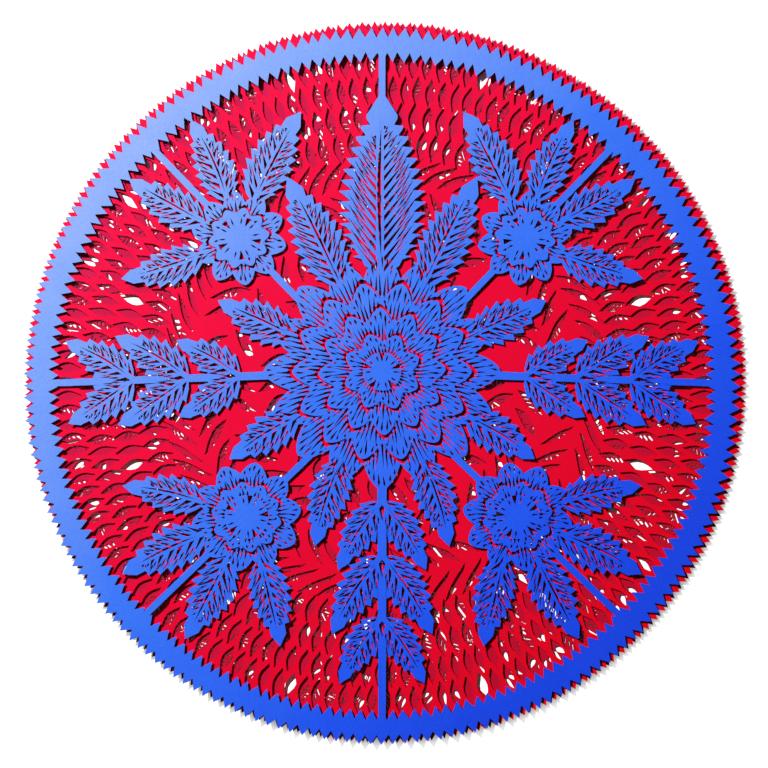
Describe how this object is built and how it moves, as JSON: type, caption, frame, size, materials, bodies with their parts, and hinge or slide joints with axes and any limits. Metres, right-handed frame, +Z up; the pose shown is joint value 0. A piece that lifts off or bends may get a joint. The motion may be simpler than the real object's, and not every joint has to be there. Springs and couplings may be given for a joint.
{
  "type": "layered papel picado disc",
  "caption": "Round papel picado of stacked cut card sheets: a blue flower picture with a pinked rim over a red net and a deep red ground.",
  "frame": {"origin": "centre of the stack's outline on the flat underside of the back sheet", "axes": "+Z up out of the stack, through the picture side; +Y towards the top of the picture; +X to its right"},
  "size_m": [0.5, 0.5, 0.0041],
  "materials": {
    "blue_card": "matt dyed card, ultramarine blue",
    "red_card": "matt dyed card, bright carmine red",
    "deep_red_card": "matt dyed card, deep red",
    "pad_board": "plain white mounting board"
  },
  "bodies": {
    "root": {"blue_front_sheet": "blue_card", "red_middle_sheet": "red_card", "red_back_sheet": "deep_red_card", "front_pads": "pad_board", "back_pads": "pad_board"}
  },
  "joints": []
}
